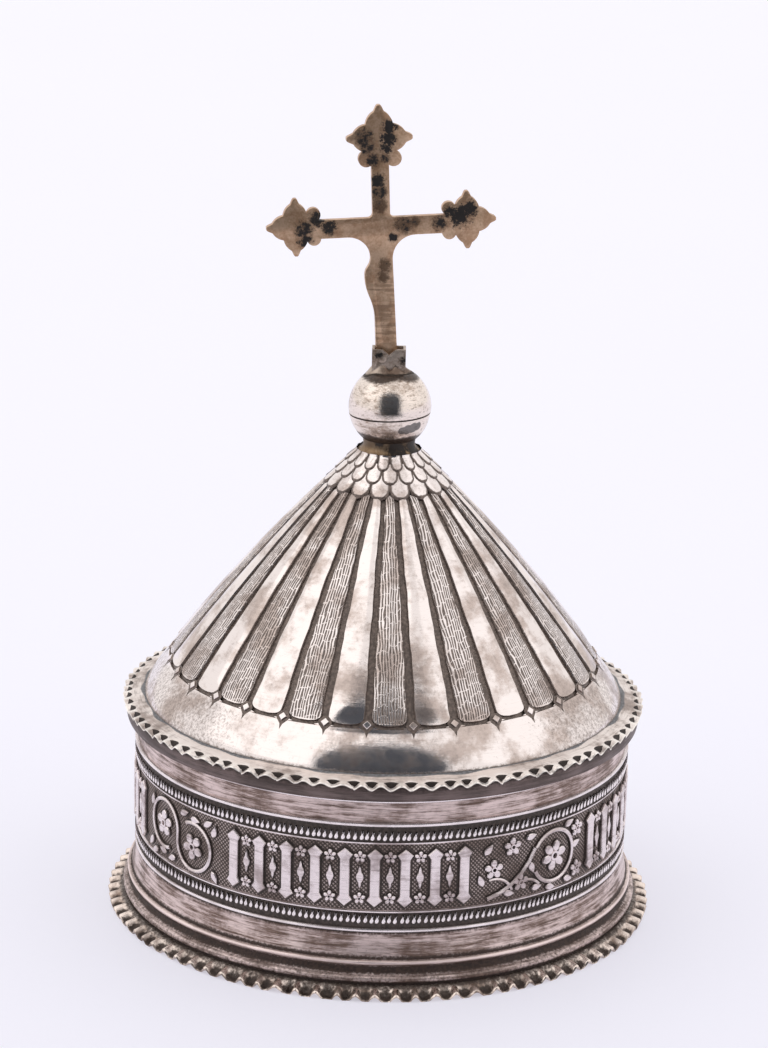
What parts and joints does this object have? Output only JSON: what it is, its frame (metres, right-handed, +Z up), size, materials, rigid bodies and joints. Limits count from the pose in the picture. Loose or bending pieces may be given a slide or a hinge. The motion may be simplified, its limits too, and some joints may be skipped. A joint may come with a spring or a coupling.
{
  "type": "pyx",
  "caption": "Round covered silver box for altar hosts: straight drum on a crimped moulded foot, lift-off conical lid with gores, ball knop and a cross with fleur ends.",
  "frame": {"origin": "centre of the foot's flat underside, on the surface it stands on", "axes": "+Z up along the drum's axis to the cross; the picture looks along +Y, with +X to its right"},
  "size_m": [0.11, 0.11, 0.162],
  "materials": {
    "silver": "worn polished silver with brown tarnish in the hollows",
    "gilt": "dull worn gilding with dark patches"
  },
  "bodies": {
    "box": {"base_plate": "silver", "foot_moulding": "silver", "drum_wall": "silver", "lower_border": "silver", "upper_border": "silver", "lip_wire": "silver", "bezel": "silver"},
    "lid": {"lid_ring": "silver", "lid_flange": "silver", "lid_cone": "silver", "neck_ring": "silver", "knop_lower": "silver", "knop_upper": "silver", "apex_washer": "silver", "finial_stud": "silver", "cross_socket": "gilt", "cross": "gilt", "cross_pin": "gilt"}
  },
  "joints": [
    {"name": "lid_lift", "type": "slide", "parent": "box", "child": "lid", "axis": [0, 0, 1], "range_m": [0, 0.06]}
  ]
}
